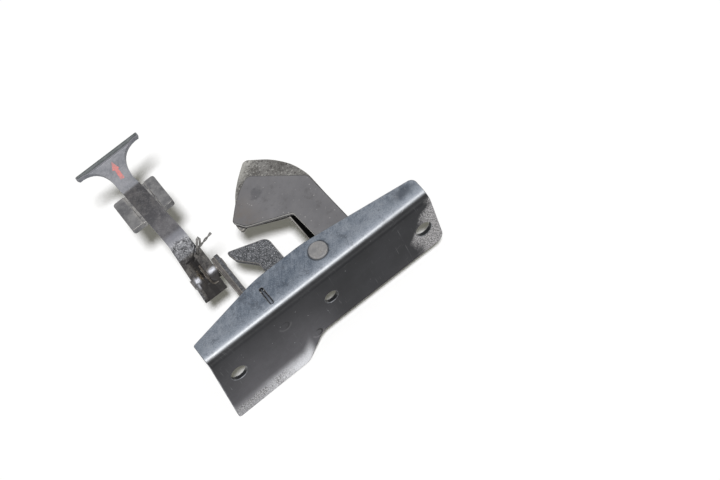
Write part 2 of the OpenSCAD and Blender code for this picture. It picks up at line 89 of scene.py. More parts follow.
# ---- camera at the photograph's angle, with its roll
cam_data = bpy.data.cameras.new("camera")
cam_data.sensor_fit = "HORIZONTAL"
cam_data.sensor_width = 36.0
cam_data.lens = 100.0
cam_data.clip_start = 0.01
cam = bpy.data.objects.new("camera", cam_data)
scene.collection.objects.link(cam)
right = Vector((0.78637, -0.54454, -0.29171))
up = Vector((0.61069, 0.61399, 0.50008))
back = right.cross(up).normalized()
up = back.cross(right).normalized()
right.normalize()
eye = Vector((-52.278, -459.683, 678.045)) * MM
cam.matrix_world = Matrix((
    (right.x, up.x, back.x, eye.x),
    (right.y, up.y, back.y, eye.y),
    (right.z, up.z, back.z, eye.z),
    (0, 0, 0, 1)))
scene.camera = cam


# ---- node helpers
class Net:
    """A material's node tree with short calls for the nodes used here."""

    def __init__(self, name):
        self.mat = bpy.data.materials.new(name)
        self.mat.use_nodes = True
        self.t = self.mat.node_tree
        self.t.nodes.clear()
        out = self.t.nodes.new("ShaderNodeOutputMaterial")
        self.bsdf = self.t.nodes.new("ShaderNodeBsdfPrincipled")
        self.t.links.new(self.bsdf.outputs[0], out.inputs[0])
        coords = self.t.nodes.new("ShaderNodeTexCoord")
        self.co = coords.outputs["Object"]
        self.x, self.y, self.z = self.split(self.co)
        self.nx, self.ny, self.nz = self.split(coords.outputs["Normal"])

    def split(self, vector):
        n = self.t.nodes.new("ShaderNodeSeparateXYZ")
        self.t.links.new(vector, n.inputs[0])
        return n.outputs

    def put(self, socket, v):
        """Link an output, or set a plain number or colour."""
        if isinstance(v, bpy.types.NodeSocket):
            self.t.links.new(v, socket)
        elif socket.type == "RGBA":
            socket.default_value = (*v, 1)
        else:
            socket.default_value = v

    def mapped(self, src, field, value):
        n = self.t.nodes.new("ShaderNodeMapping")
        self.put(n.inputs[0], src)
        n.inputs[field].default_value = value
        return n.outputs[0]

    def noise(self, scale, detail, rough=0.55, src=None):
        n = self.t.nodes.new("ShaderNodeTexNoise")
        self.put(n.inputs["Vector"], src or self.co)
        n.inputs["Scale"].default_value = scale
        n.inputs["Detail"].default_value = detail
        n.inputs["Roughness"].default_value = rough
        return n.outputs[0]

    def strokes(self, scale, turn, detail=2, rough=0.5):
        """Noise drawn out into strokes: the coordinates are turned, then scaled."""
        turned = self.mapped(self.co, "Rotation", turn)
        return self.noise(1, detail, rough, self.mapped(turned, "Scale", scale))

    def cells(self, scale):
        n = self.t.nodes.new("ShaderNodeTexVoronoi")
        self.put(n.inputs["Vector"], self.co)
        n.inputs["Scale"].default_value = scale
        return n.outputs["Distance"]

    def ramp(self, v, lo, hi, a=0.0, b=1.0, smooth=True):
        """a at lo and b at hi."""
        n = self.t.nodes.new("ShaderNodeMapRange")
        n.interpolation_type = "SMOOTHSTEP" if smooth else "LINEAR"
        self.put(n.inputs[0], v)
        for i, q in enumerate((lo, hi, a, b)):
            n.inputs[1 + i].default_value = q
        return n.outputs[0]

    def fade(self, v, lo, hi):
        """1 up to lo, 0 from hi on."""
        return self.ramp(v, lo, hi, 1, 0)

    def math(self, op, a, b=0.0):
        n = self.t.nodes.new("ShaderNodeMath")
        n.operation = op
        self.put(n.inputs[0], a)
        self.put(n.inputs[1], b)
        return n.outputs[0]

    def mul(self, a, *others):
        for b in others:
            a = self.math("MULTIPLY", a, b)
        return a

    def add(self, a, b):
        return self.math("ADD", a, b)

    def high(self, a, b):
        return self.math("MAXIMUM", a, b)

    def weigh(self, *pairs):
        """Sum of values, each times its weight."""
        total = self.mul(*pairs[-1])
        for value, weight in reversed(pairs[:-1]):
            total = self.add(self.mul(value, weight), total)
        return total

    def wavy(self, v, wave, reach):
        """v moved to and fro by a noise."""
        return self.add(v, self.mul(self.add(wave, -0.5), reach))

    def away(self, v, place):
        """v measured from a place given in mm."""
        return self.add(v, -place * MM)

    def radius(self, a, b):
        return self.math("SQRT", self.add(self.mul(a, a), self.mul(b, b)))

    def mix(self, f, a, b):
        n = self.t.nodes.new("ShaderNodeMix")
        n.data_type = "RGBA"
        self.put(n.inputs[0], f)
        self.put(n.inputs[6], a)
        self.put(n.inputs[7], b)
        return n.outputs[2]

    def bump(self, height, dist, strength, normal=None):
        n = self.t.nodes.new("ShaderNodeBump")
        n.inputs["Strength"].default_value = strength
        n.inputs["Distance"].default_value = dist
        self.put(n.inputs["Height"], height)
        if normal is not None:
            self.put(n.inputs["Normal"], normal)
        return n.outputs[0]

    def finish(self, color, rough, metallic, normal, spec):
        b = self.bsdf
        self.put(b.inputs["Base Color"], color)
        self.put(b.inputs["Roughness"], rough)
        self.put(b.inputs["Metallic"], metallic)
        self.put(b.inputs["Specular IOR Level"], spec)
        self.put(b.inputs["Normal"], normal)
        return self.mat


# ---- materials: lengths inside them are in metres, colours are linear
def flange_film_and_sheen(n, cloud, mid, fine, grain):
    """Bluish film on the flange: dust with a painted sky reflection, lighter at both ends and, as a
    painted highlight glow, down to the bend, rubbed in strokes.
    """
    rubs = n.strokes((900, 130, 130), (0, 0, 0.55), 4, 0.65)
    haze = n.ramp(n.weigh((cloud, 0.25), (rubs, 0.45), (mid, 0.30)), 0.40, 0.60)
    tone = n.mix(haze, (0.092, 0.116, 0.152), (0.198, 0.226, 0.270))
    ends = n.high(n.ramp(n.x, 0.000, 0.022), n.ramp(n.x, -0.028, -0.046))
    ends = n.mul(ends, n.ramp(mid, 0.34, 0.62, 0.30, 0.65))
    tone = n.mix(ends, tone, (0.265, 0.290, 0.330))
    # painted highlight: the film brightens towards the bend
    bend_glow_highlight = n.ramp(n.wavy(n.y, rubs, 0.0022), 0.0082, 0.0034)
    tone = n.mix(n.mul(bend_glow_highlight, 0.46), tone, (0.36, 0.395, 0.455))
    # light and dark grains, then dark smears
    tone = n.mix(n.mul(n.ramp(grain, 0.50, 0.66), 0.42), tone, (0.30, 0.325, 0.365))
    tone = n.mix(n.mul(n.fade(grain, 0.34, 0.50), 0.40), tone, (0.055, 0.068, 0.090))
    smear = n.ramp(n.weigh((n.noise(190, 5, 0.7), 0.7), (fine, 0.3)), 0.53, 0.63)
    tone = n.mix(n.mul(smear, 0.60), tone, (0.068, 0.080, 0.100))
    # dark spot near the right end, painted contact shadow in a ring round the rivet's head
    spot = n.radius(n.mul(n.away(n.x, 49.0), 0.55), n.away(n.y, 8.0))
    spot = n.fade(n.wavy(spot, mid, 0.004), 0.0008, 0.0044)
    tone = n.mix(n.mul(spot, 0.7), tone, (0.050, 0.060, 0.076))
    rivet_shadow_ring = n.radius(n.away(n.x, PIVOT_X), n.away(n.y, PIVOT_Y))
    rivet_shadow_ring = n.fade(n.wavy(rivet_shadow_ring, mid, 0.0008), 0.0044, 0.0052)
    return n.mix(n.mul(rivet_shadow_ring, 0.85), tone, (0.030, 0.034, 0.040))


def pressed_marks(n):
    """Two pressed marks in the web, a clear half-moon and a faint one: dents with painted shade on
    one side of each arc and painted highlight halos below.
    """
    dark = halo_highlight = 0.0
    for x, z, r, strength in ((-11.8, -12.1, 1.9, 1.0), (-21.8, 6.6, 2.0, 0.5)):
        ex = n.away(n.x, x)
        ez = n.away(n.z, z)
        far = n.radius(ex, ez)
        shaded_arc = n.ramp(far, (r - 0.9) * MM, (r - 0.2) * MM)
        shaded_arc = n.mul(shaded_arc, n.fade(far, r * MM, (r + 0.5) * MM))
        shaded_arc = n.mul(shaded_arc, n.mul(n.ramp(ex, -0.0012, 0.0010), strength))
        dark = n.high(shaded_arc, dark)
        halo = n.ramp(far, (r + 0.1) * MM, (r + 0.7) * MM)
        halo = n.mul(halo, n.fade(far, (r + 0.9) * MM, (r + 1.6) * MM))
        halo = n.mul(halo, n.mul(n.ramp(ez, 0.0006, -0.0012), strength))
        halo_highlight = n.high(halo, halo_highlight)
    return dark, halo_highlight


def coat_black():
    """Satin black coating: a bluish film on the flange that is dust with a painted sky reflection,
    grey dust on the web, painted shade and highlights at the rivet, the bend and the pressed marks.
    """
    n = Net("coat_black")
    cloud = n.noise(60, 5, 0.6)
    mid = n.noise(330, 4, 0.6)
    fine = n.noise(1500, 3, 0.65)
    grain = n.noise(2600, 2, 0.6)
    front = n.fade(n.ny, -0.985, -0.90)
    upward_dust_sheen = n.mul(n.ramp(n.nz, 0.66, 0.92), n.ramp(n.z, 0.0105, 0.0130))
    col = n.mix(n.ramp(cloud, 0.35, 0.68), (0.010, 0.0105, 0.012), (0.017, 0.0175, 0.020))
    # grey tone on the web, stronger lower down and to the left of the middle
    low = n.ramp(n.z, 0.0165, -0.0180, 0.10, 1.0, smooth=False)
    side = n.mul(n.ramp(n.x, -0.058, -0.040, 0.80, 1.0), n.ramp(n.x, -0.018, 0.006, 1.0, 0.18))
    patchy = n.ramp(n.weigh((cloud, 0.5), (mid, 0.3), (fine, 0.2)), 0.34, 0.66, 0.72, 1.0)
    col = n.mix(n.mul(front, n.mul(low, side), patchy), col, (0.098, 0.096, 0.104))
    # bluish film on the upward faces: dust, and a painted reflection of the sky
    col = n.mix(upward_dust_sheen, col, flange_film_and_sheen(n, cloud, mid, fine, grain))
    # height over the web's lower edge, with its step
    edge = n.add(n.mul(n.ramp(n.x, -0.0225, -0.0100), WEB_STEP * MM), WEB_FOOT * MM)
    edge = n.add(edge, n.ramp(n.x, -0.059, -0.0215, 0.0, WEB_SLOPE * MM, smooth=False))
    height = n.math("SUBTRACT", n.z, edge)
    # pale dust with a painted floor reflection, fading upwards beside the step
    soft = n.fade(n.wavy(height, mid, 0.0022), 0.0022, 0.0112)
    soft = n.mul(soft, n.ramp(n.x, -0.052, -0.033, 0.40, 1), n.fade(n.x, -0.0205, -0.0150), front)
    pale = n.mix(n.ramp(fine, 0.36, 0.64), (0.54, 0.545, 0.565), (0.68, 0.685, 0.705))
    col = n.mix(soft, col, pale)
    # dirty speckled dust along the foot to the left
    foot = n.fade(n.wavy(n.wavy(height, mid, 0.006), fine, 0.006), 0.0046, 0.0078)
    foot = n.mul(foot, n.fade(n.x, -0.033, -0.026), front)
    foot = n.mul(foot, n.ramp(n.noise(170, 4, 0.6), 0.40, 0.58, 0.40, 1))
    speckle = n.ramp(n.weigh((fine, 0.6), (grain, 0.4)), 0.44, 0.56)
    speckle = n.mix(speckle, (0.040, 0.038, 0.037), (0.52, 0.515, 0.52))
    col = n.mix(n.mul(foot, 0.85), col, speckle)
    # grit over the right end of the web, further right towards the bend
    lean = n.ramp(n.z, 0.0, 0.0130, 0.0, -0.0110, smooth=False)
    grit = n.add(n.x, n.add(lean, n.mul(n.noise(130, 4), 0.014)))
    grit = n.mul(n.ramp(grit, 0.0480, 0.0540), front)
    grit = n.mul(grit, n.ramp(n.noise(1500, 2, 0.7), 0.40, 0.60, 0.2, 1))
    col = n.mix(grit, col, (0.42, 0.41, 0.41))
    # pressed marks: painted shade on one side of the arcs, painted highlight on the halos
    dark, halo_highlight = (n.mul(mark, front) for mark in pressed_marks(n))
    col = n.mix(n.mul(dark, 0.9), col, (0.008, 0.008, 0.008))
    col = n.mix(n.mul(halo_highlight, 0.35), col, (0.20, 0.195, 0.20))
    # hair scratches and dust specks
    hair = n.high(n.ramp(n.strokes((2600, 120, 120), (0, 0, -0.6)), 0.66, 0.73),
                  n.ramp(n.strokes((140, 140, 2400), (0, 0.35, 0)), 0.67, 0.73))
    hair = n.mul(hair, n.ramp(n.noise(45, 2), 0.45, 0.62), n.ramp(n.ny, -0.95, -0.85, 0.14, 0.32))
    specks = n.mul(n.fade(n.cells(420), 0.05, 0.10), n.ramp(n.noise(240, 2), 0.54, 0.62))
    col = n.mix(n.high(hair, n.mul(specks, 0.7)), col, (0.36, 0.36, 0.37))
    loose = n.high(n.high(soft, foot), grit)
    rough = n.ramp(n.weigh((cloud, 0.4), (mid, 0.6)), 0.32, 0.68, 0.35, 0.41)
    rough = n.add(rough, n.mul(loose, 0.4))
    nor = n.bump(n.weigh((mid, 0.5), (dark, -1.4)), 0.00006, 0.25)
    nor = n.bump(n.add(fine, n.mul(loose, 0.6)), 0.00002, 0.25, nor)
    return n.finish(col, rough, 0.0, nor, n.ramp(n.ny, -0.985, -0.88, 0.14, 0.75))


def coat_hook():
    """Front hook plate: an even grey coating with faint smears and a brown tint towards the tip."""
    n = Net("coat_hook")
    big = n.noise(70, 4, 0.55)
    mid = n.noise(380, 4, 0.6)
    fine = n.noise(2000, 3, 0.65)
    drag = n.strokes((420, 60, 60), (0, 0, 0.7), 4, 0.6)
    broad = n.weigh((big, 0.5), (mid, 0.5))
    small = n.weigh((mid, 0.5), (fine, 0.5))
    even = n.ramp(n.weigh((big, 0.8), (drag, 0.2)), 0.34, 0.66)
    col = n.mix(even, (0.154, 0.152, 0.160), (0.184, 0.181, 0.190))
    col = n.mix(n.ramp(small, 0.54, 0.68, 0, 0.30), col, (0.24, 0.232, 0.228))
    tip = n.mul(n.fade(n.x, -0.010, 0.004), n.ramp(broad, 0.40, 0.58, 0.15, 1))
    col = n.mix(n.mul(tip, 0.55), col, (0.150, 0.128, 0.108))
    smear = n.ramp(n.noise(170, 5, 0.7), 0.57, 0.68)
    col = n.mix(n.mul(smear, 0.40), col, (0.100, 0.096, 0.098))
    col = n.mix(n.mul(n.fade(small, 0.33, 0.45), 0.30), col, (0.085, 0.082, 0.084))
    # dark spot near the tip
    spot = n.radius(n.away(n.x, 3.4), n.away(n.y, 55.6))
    spot = n.fade(n.wavy(spot, mid, 0.009), 0.0006, 0.0040)
    col = n.mix(n.mul(spot, 0.5), col, (0.078, 0.078, 0.086))
    # pale specks, more of them down the shank
    shank = n.ramp(n.y, 0.0460, 0.0300, 0.0, 0.07)
    specks = n.ramp(n.add(n.noise(300, 2), shank), 0.54, 0.60)
    specks = n.mul(n.fade(n.cells(560), 0.10, 0.22), specks)
    col = n.mix(n.mul(specks, 0.45), col, (0.46, 0.45, 0.44))
    rough = n.ramp(broad, 0.35, 0.65, 0.44, 0.56)
    nor = n.bump(n.weigh((mid, 0.6), (fine, 0.4)), 0.00006, 0.4)
    return n.finish(col, rough, 0.0, nor, 0.4)


def coat_rear():
    """Rear hook plate: dusty, with dark pits, pale grains and a pale corner at its tip."""
    n = Net("coat_rear")
    big = n.noise(110, 5, 0.6)
    mid = n.noise(460, 4, 0.65)
    fine = n.noise(1700, 3, 0.7)
    broad = n.ramp(n.weigh((big, 0.5), (mid, 0.5)), 0.36, 0.64)
    col = n.mix(broad, (0.106, 0.101, 0.096), (0.220, 0.215, 0.208))
    pale = n.ramp(n.wavy(n.add(n.y, n.mul(n.x, -0.5)), mid, 0.010), 0.0640, 0.0740)
    col = n.mix(n.mul(pale, 0.9), col, (0.47, 0.465, 0.435))
    dark = n.mul(n.fade(fine, 0.36, 0.46), n.ramp(big, 0.40, 0.60, 0.3, 1))
    col = n.mix(n.mul(dark, 0.75), col, (0.058, 0.053, 0.050))
    pits = n.fade(n.noise(950, 2, 0.7), 0.36, 0.43)
    col = n.mix(n.mul(pits, 0.7), col, (0.050, 0.047, 0.045))
    grain = n.ramp(n.noise(1150, 2, 0.7), 0.58, 0.65)
    col = n.mix(n.mul(grain, 0.5), col, (0.50, 0.49, 0.46))
    # the throat: a pale line along its edge, then painted shadow under the front plate
    inside = n.fade(n.wavy(n.y, mid, 0.002), 0.0380, 0.0396)
    pale_line = n.mul(inside, n.fade(n.x, 0.0083, 0.0087))
    col = n.mix(n.mul(pale_line, 0.9), col, (0.44, 0.43, 0.40))
    throat = n.mul(n.ramp(n.x, 0.0084, 0.0088), n.fade(n.x, 0.0106, 0.0114), inside)
    col = n.mix(throat, col, (0.003, 0.003, 0.003))
    rough = n.ramp(mid, 0.3, 0.7, 0.55, 0.75)
    nor = n.bump(n.weigh((mid, 0.6), (fine, 0.6)), 0.00010, 0.5)
    return n.finish(col, rough, 0.0, nor, n.ramp(throat, 0, 1, 0.35, 0.0))


def coat_stop():
    """Stop block: mottled grey with a pale smear beside the strip."""
    n = Net("coat_stop")
    big = n.noise(150, 5, 0.6)
    mid = n.noise(520, 4, 0.65)
    fine = n.noise(2000, 3, 0.7)
    broad = n.ramp(n.weigh((big, 0.6), (mid, 0.4)), 0.36, 0.64)
    col = n.mix(broad, (0.112, 0.112, 0.119), (0.212, 0.210, 0.213))
    near = n.fade(n.math("ABSOLUTE", n.away(n.x, HANDLE_X)), 0.0046, 0.0068)
    near = n.mul(near, n.ramp(n.weigh((mid, 0.6), (big, 0.4)), 0.42, 0.60))
    col = n.mix(n.mul(near, 0.6), col, (0.40, 0.385, 0.365))
    col = n.mix(n.ramp(fine, 0.60, 0.70, 0, 0.5), col, (0.34, 0.335, 0.33))
    col = n.mix(n.ramp(fine, 0.28, 0.40, 0.5, 0), col, (0.06, 0.057, 0.056))
    rough = n.ramp(mid, 0.3, 0.7, 0.44, 0.60)
    nor = n.bump(n.weigh((mid, 0.7), (fine, 0.4)), 0.00010, 0.45)
    return n.finish(col, rough, 0.0, nor, 0.45)


def coat_claw():
    """Lever: dark coating under coarse stuck grit with pale grains, fewer at its left end."""
    n = Net("coat_claw")
    lump = n.noise(900, 4, 0.7)
    grainy = n.noise(2000, 2, 0.7)
    big = n.noise(140, 4, 0.6)
    col = n.mix(n.ramp(lump, 0.38, 0.66), (0.045, 0.047, 0.052), (0.140, 0.144, 0.156))
    specks = n.mul(n.ramp(grainy, 0.55, 0.65), n.ramp(n.x, -0.0248, -0.0240, 0.25, 1))
    specks = n.mul(specks, n.ramp(big, 0.3, 0.6, 0.36, 0.8))
    col = n.mix(specks, col, (0.56, 0.57, 0.60))
    rough = n.ramp(lump, 0.35, 0.65, 0.6, 0.85)
    nor = n.bump(n.weigh((lump, 0.8), (grainy, 0.4)), 0.00020, 0.7)
    return n.finish(col, rough, 0.0, nor, 0.4)


def coat_arm():
    """Hinge arm: worn dark coating with brown grey dust."""
    n = Net("coat_arm")
    big = n.noise(160, 5, 0.6)
    mid = n.noise(600, 4, 0.65)
    fine = n.noise(2000, 3, 0.7)
    broad = n.ramp(n.weigh((big, 0.5), (mid, 0.5)), 0.36, 0.64)
    col = n.mix(broad, (0.070, 0.064, 0.062), (0.140, 0.130, 0.126))
    col = n.mix(n.ramp(fine, 0.58, 0.68, 0, 0.6), col, (0.30, 0.285, 0.275))
    rough = n.ramp(mid, 0.3, 0.7, 0.48, 0.66)
    nor = n.bump(n.weigh((mid, 0.7), (fine, 0.4)), 0.00012, 0.5)
    return n.finish(col, rough, 0.0, nor, 0.45)


def coat_handle():
    """Handle: satin on the T with a painted lighter tone, dark in the middle, mottled at the hinge,
    soiled at the knuckles, with painted shade, highlights and glints.
    """
    n = Net("coat_handle")
    big = n.noise(110, 5, 0.6)
    mid = n.noise(480, 4, 0.65)
    fine = n.noise(2000, 3, 0.7)
    small = n.weigh((mid, 0.6), (fine, 0.4))
    y_wave = n.wavy(n.y, mid, 0.003)
    # tones along the strip: the T made lighter as painted light, the middle, its lower end, the
    # bend, the mottled patch
    mottle = n.ramp(n.weigh((big, 0.5), (mid, 0.3), (fine, 0.2)), 0.41, 0.59)
    tee_lit_tone = n.mix(mottle, (0.118, 0.125, 0.145), (0.200, 0.202, 0.224))
    bar = n.mix(mottle, (0.056, 0.055, 0.060), (0.112, 0.107, 0.108))
    lower = n.mix(mottle, (0.092, 0.090, 0.098), (0.160, 0.156, 0.164))
    patch = n.mix(n.ramp(small, 0.40, 0.60), (0.028, 0.029, 0.033), (0.165, 0.168, 0.188))
    col = n.mix(n.fade(y_wave, 0.0600, 0.0800), bar, lower)
    col = n.mix(n.ramp(n.y, 0.0870, 0.0885), col, tee_lit_tone)
    # painted highlight along the bend
    fold_highlight = n.mul(n.ramp(n.y, 0.0585, 0.0558), n.ramp(y_wave, 0.0520, 0.0532))
    col = n.mix(n.mul(fold_highlight, 0.55), col, (0.255, 0.262, 0.300))
    col = n.mix(n.fade(y_wave, 0.0515, 0.0535), col, patch)
    grain = n.ramp(n.noise(1600, 2, 0.7), 0.54, 0.64)
    grain = n.mul(grain, n.ramp(y_wave, 0.0520, 0.0545, 0.75, 0.10))
    col = n.mix(grain, col, (0.46, 0.465, 0.49))
    # brown soil on the straps and knuckles
    soil = n.ramp(n.weigh((big, 0.5), (mid, 0.5)), 0.36, 0.54, 0.70, 1.0)
    soil = n.mul(n.fade(n.y, 0.0470, 0.0480), soil, n.ramp(n.x, -0.0404, -0.0398, 0.30, 1))
    brown = n.mix(n.ramp(mid, 0.40, 0.62), (0.050, 0.046, 0.044), (0.132, 0.124, 0.115))
    col = n.mix(soil, col, brown)
    # painted shade with rust specks between the straps, and a painted shadow in the slit beside the
    # right one
    x_wave = n.wavy(n.x, mid, 0.0026)
    gap_shade_rust = n.mul(n.ramp(x_wave, -0.0374, -0.0364), n.fade(n.x, -0.0336, -0.0333))
    gap_shade_rust = n.mul(gap_shade_rust, n.fade(n.y, 0.0458, 0.0466), n.ramp(n.z, 0.0095, 0.0110))
    rust = n.ramp(n.weigh((fine, 0.6), (mid, 0.4)), 0.48, 0.58)
    rust = n.mul(rust, n.ramp(n.y, 0.0420, 0.0440, 0.85, 0.12))
    rust = n.mix(rust, (0.010, 0.009, 0.008), (0.23, 0.185, 0.130))
    col = n.mix(n.mul(gap_shade_rust, 0.95), col, rust)
    slit_shade = n.mul(n.ramp(x_wave, -0.0360, -0.0355), n.fade(n.x, -0.0334, -0.0331))
    slit_shade = n.mul(slit_shade, n.fade(n.y, 0.0462, 0.0470))
    col = n.mix(n.mul(slit_shade, 0.95), col, (0.008, 0.007, 0.007))
    gap_shade = n.high(gap_shade_rust, slit_shade)
    # crowns of the knuckles rubbed to bare steel, made pale as a painted glint
    crown_wear_glint = n.mul(n.fade(n.wavy(n.y, mid, 0.0026), 0.0397, 0.0411), n.ramp(n.ny, -0.93, -0.80))
    crown_wear_glint = n.mul(crown_wear_glint, n.ramp(n.nz, 0.30, 0.45), n.ramp(n.z, 0.0115, 0.0128))
    crown_wear_glint = n.mul(crown_wear_glint, n.ramp(small, 0.38, 0.52, 0.30, 1), n.math("SUBTRACT", 1.0, gap_shade))
    rubbed = 0.0
    for middle, full, none in ((-31.0, 0.7, 2.4), (-38.3, 0.5, 1.7)):
        off = n.math("ABSOLUTE", n.away(n.x, middle))
        rubbed = n.high(n.fade(off, full * MM, none * MM), rubbed)
    crown_wear_glint = n.mul(crown_wear_glint, rubbed)
    col = n.mix(crown_wear_glint, col, (0.50, 0.51, 0.56))
    # painted shade on faces turned towards the web, painted light on the flanks of the T
    facing_shade = n.mul(n.ramp(n.ny, -0.80, -0.55, 0.85, 0), n.fade(n.z, 0.018, 0.030))
    col = n.mix(facing_shade, col, (0.040, 0.038, 0.038))
    flank_light = n.mul(n.fade(n.nz, -0.25, -0.05), n.ramp(n.y, 0.0885, 0.0905))
    col = n.mix(n.mul(flank_light, 0.8), col, (0.34, 0.335, 0.375))
    # the turned lip and its foot, made pale with painted light, by the height over the middle of
    # the T plate
    over = n.mul(n.away(n.y, TEE_Y), -math.tan(TEE_RISE))
    over = n.add(n.away(n.z, TEE_Z), over)
    end = n.ramp(n.y, 0.0990, 0.1000)
    col = n.mix(n.mul(end, n.ramp(over, 0.00110, 0.00135)), col, (0.25, 0.252, 0.275))
    lip = n.mul(end, n.ramp(over, 0.00150, 0.00175))
    satin = n.mix(n.ramp(mid, 0.38, 0.62), (0.112, 0.122, 0.125), (0.142, 0.152, 0.156))
    col = n.mix(lip, col, satin)
    # rubbed patches and hair scratches
    rub = n.mul(n.ramp(n.noise(260, 5, 0.7), 0.62, 0.72), n.ramp(n.z, 0.008, 0.014, 0, 0.30))
    col = n.mix(rub, col, (0.27, 0.265, 0.265))
    hair = n.ramp(n.strokes((150, 2200, 150), (0, 0, 0.5)), 0.67, 0.73)
    col = n.mix(n.mul(hair, 0.18), col, (0.34, 0.34, 0.36))
    # soil and the shaded gaps are dull, the crowns shine
    dull = n.high(n.mul(soil, 0.85), gap_shade)
    rough = n.add(n.ramp(mid, 0.3, 0.7, 0.37, 0.45), n.mul(n.fade(y_wave, 0.0560, 0.0610), 0.05))
    rough = n.add(rough, n.mul(n.math("SUBTRACT", dull, n.mul(crown_wear_glint, 0.3)), 0.15))
    nor = n.bump(n.weigh((mid, 0.6), (big, 0.4)), 0.00007, 0.35)
    nor = n.bump(n.mul(fine, n.ramp(y_wave, 0.0510, 0.0550, 2.4, 0.7)), 0.00004, 0.45, nor)
    sheen = n.ramp(n.weigh((mid, 0.5), (fine, 0.5)), 0.42, 0.58, 0.15, 1.0)
    sheen = n.high(n.ramp(y_wave, 0.0520, 0.0545), sheen)
    sheen = n.mul(n.ramp(dull, 0, 1, 0.5, 0.08, smooth=False), sheen)
    sheen = n.mul(n.high(sheen, n.mul(crown_wear_glint, 0.5)), n.ramp(lip, 0, 1, 1, 0.12))
    return n.finish(col, rough, n.mul(crown_wear_glint, 0.30), nor, sheen)


def bare(name, a, b, stain, metallic, stained=0.7):
    """Dull steel between two tones, with staining."""
    n = Net(name)
    big = n.noise(300, 5, 0.6)
    fine = n.noise(1800, 3, 0.6)
    both = n.weigh((big, 0.5), (fine, 0.5))
    stains = n.ramp(both, 0.5, 0.62)
    col = n.mix(n.ramp(big, 0.35, 0.65), a, b)
    col = n.mix(n.mul(stains, stained), col, stain)
    rough = n.ramp(both, 0.35, 0.65, 0.42, 0.62)
    nor = n.bump(n.weigh((big, 0.6), (fine, 0.5)), 0.00008, 0.45)
    return n.finish(col, rough, n.ramp(stains, 0, 1, metallic, 0.1), nor, 0.45)


def rim(name, steel, coat, cover, smooth=0.40, burr_glint=None):
    """Cut edges worn to steel in patches. An optional pale colour, burnished edges with a painted
    highlight, goes on the down-facing edges and along the throat.
    """
    n = Net(name)
    big = n.noise(160, 4, 0.6)
    fine = n.noise(1400, 3, 0.7)
    worn = n.ramp(n.weigh((big, 0.65), (fine, 0.35)), cover - 0.08, cover + 0.08)
    col = n.mix(worn, coat, steel)
    if burr_glint is not None:
        low = n.mul(n.fade(n.nz, 0.50, 0.72), n.fade(n.ny, -0.45, -0.15))
        side = n.mul(n.fade(n.nx, -0.45, -0.15), n.ramp(n.x, 0.004, 0.006))
        col = n.mix(n.high(low, n.mul(side, 0.7)), col, burr_glint)
    rough = n.ramp(fine, 0.3, 0.7, smooth, smooth + 0.15)
    return n.finish(col, rough, n.ramp(worn, 0, 1, 0.0, 0.2), n.bump(fine, 0.00005, 0.4), 0.5)


def red_paint():
    """Faded red paint, worn through to the coating in patches and at the arrow's point."""
    n = Net("red_paint")
    big = n.noise(420, 5, 0.65)
    fine = n.noise(2400, 3, 0.7)
    col = n.mix(n.ramp(big, 0.35, 0.65), (0.52, 0.135, 0.125), (0.70, 0.175, 0.155))
    wear = n.ramp(n.weigh((big, 0.45), (fine, 0.55)), 0.46, 0.58)
    tip = n.ramp(n.wavy(n.y, fine, 0.006), 0.0960, 0.1010, 0, 0.75)
    col = n.mix(n.high(n.mul(wear, 0.8), tip), col, (0.27, 0.18, 0.185))
    rough = n.ramp(fine, 0.3, 0.7, 0.42, 0.55)
    return n.finish(col, rough, 0.0, n.bump(fine, 0.00004, 0.4), 0.5)


black = coat_black()
handle = coat_handle()
hook = coat_hook()
rear = coat_rear()
stop = coat_stop()
arm = coat_arm()
claw = coat_claw()
head = bare("steel_rivet", (0.235, 0.232, 0.238), (0.330, 0.325, 0.325),
            (0.170, 0.156, 0.148), 0.12, 0.6)
steel = bare("steel_bare", (0.20, 0.18, 0.175), (0.30, 0.275, 0.26),
             (0.15, 0.105, 0.078), 0.4)
spring = bare("steel_spring", (0.060, 0.052, 0.046), (0.125, 0.112, 0.098),
              (0.060, 0.046, 0.036), 0.2)
leg = bare("steel_leg", (0.115, 0.130, 0.158), (0.165, 0.184, 0.215),
           (0.095, 0.100, 0.115), 0.0, 0.5)
twist = bare("steel_wire", (0.120, 0.115, 0.110), (0.310, 0.305, 0.295),
             (0.060, 0.051, 0.044), 0.3, 0.85)
rim_black = rim("rim_black", (0.26, 0.27, 0.29), (0.050, 0.053, 0.060), 0.52)
rim_worn = rim("rim_worn", (0.33, 0.32, 0.31), (0.105, 0.100, 0.100), 0.50)
# hook edges: dark tones that are partly painted shade along the upper edges, and a pale colour that
# is partly a painted highlight on the lower ones
rim_hook_shade_glint = rim("rim_hook_shade_glint", (0.150, 0.146, 0.146), (0.055, 0.054, 0.055), 0.56, 0.27,
               (0.46, 0.45, 0.43))
rim_dust = rim("rim_dusty", (0.36, 0.34, 0.31), (0.14, 0.128, 0.120), 0.50)
rim_grip = rim("rim_grip", (0.130, 0.136, 0.140), (0.080, 0.085, 0.089), 0.55)


